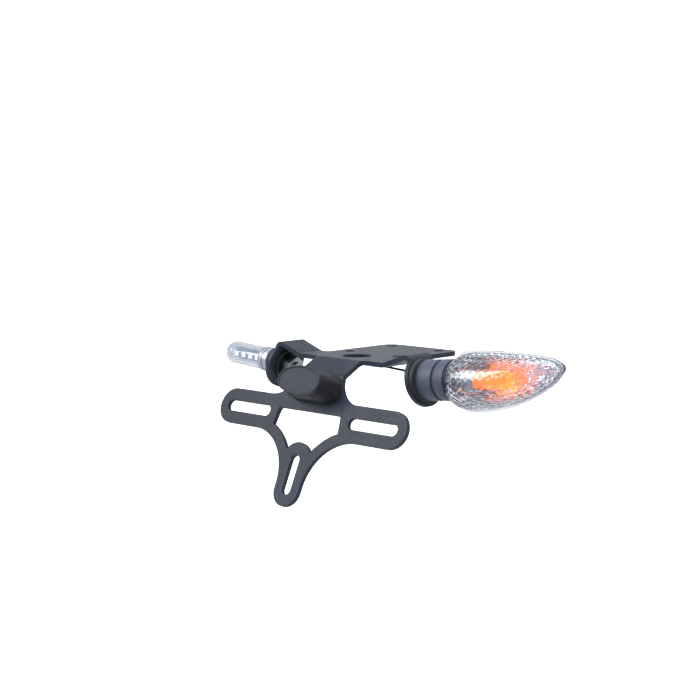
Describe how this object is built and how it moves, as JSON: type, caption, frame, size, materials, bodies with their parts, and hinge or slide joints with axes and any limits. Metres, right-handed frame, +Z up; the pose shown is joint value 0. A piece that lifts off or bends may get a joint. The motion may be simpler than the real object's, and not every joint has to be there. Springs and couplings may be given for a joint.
{
  "type": "motorcycle tail tidy",
  "caption": "Folded steel number plate hanger for a motorcycle tail, with slotted wings, an oval plate lamp and a turn indicator on each raised arm.",
  "frame": {"origin": "centre of the four-bolt pattern on the top plate's upper face", "axes": "+X to the machine's right, +Y to its front, +Z up, as fitted"},
  "size_m": [0.2748, 0.1311, 0.0991],
  "materials": {
    "bracket_steel": "satin black powder coat",
    "lamp_plastic": "fine moulded texture",
    "cap_plastic": "fine moulded texture",
    "clear_plastic": "clear polycarbonate",
    "rubber_black": "matte",
    "stem_rubber": "satin",
    "reflector_chrome": "vacuum metallised",
    "zinc_steel": "zinc plated",
    "satin_aluminium": "satin",
    "amber_glass": "amber",
    "board_white": "white solder mask",
    "board_green": "green solder mask",
    "chip_phosphor": "gloss",
    "lead_black": "satin",
    "connector_nylon": "natural nylon",
    "shell_black": "gloss"
  },
  "bodies": {
    "root": {"main_bracket": "bracket_steel", "plate_lamp_gasket": "rubber_black", "plate_lamp_housing": "lamp_plastic", "plate_lamp_cap": "cap_plastic", "plate_lamp_window": "clear_plastic", "plate_lamp_board": "board_green", "plate_lamp_chips": "chip_phosphor", "plate_lamp_screws": "zinc_steel", "bulb_spacer": "rubber_black", "bulb_stem": "stem_rubber", "bulb_housing": "shell_black", "bulb_seal": "rubber_black", "bulb_lens": "clear_plastic", "bulb_reflector": "reflector_chrome", "bulb_socket": "zinc_steel", "amber_bulb": "amber_glass", "bulb_stud": "zinc_steel", "bulb_backing_washer": "zinc_steel", "bulb_nut": "zinc_steel", "bulb_lead": "lead_black", "lead_connector": "connector_nylon", "slim_root": "rubber_black", "slim_collar": "satin_aluminium", "slim_lens": "clear_plastic", "slim_board": "board_white", "slim_chips_set": "chip_phosphor", "slim_stud": "zinc_steel", "slim_rubber_washer": "rubber_black", "slim_steel_washer": "zinc_steel", "slim_nut": "zinc_steel"}
  },
  "joints": []
}
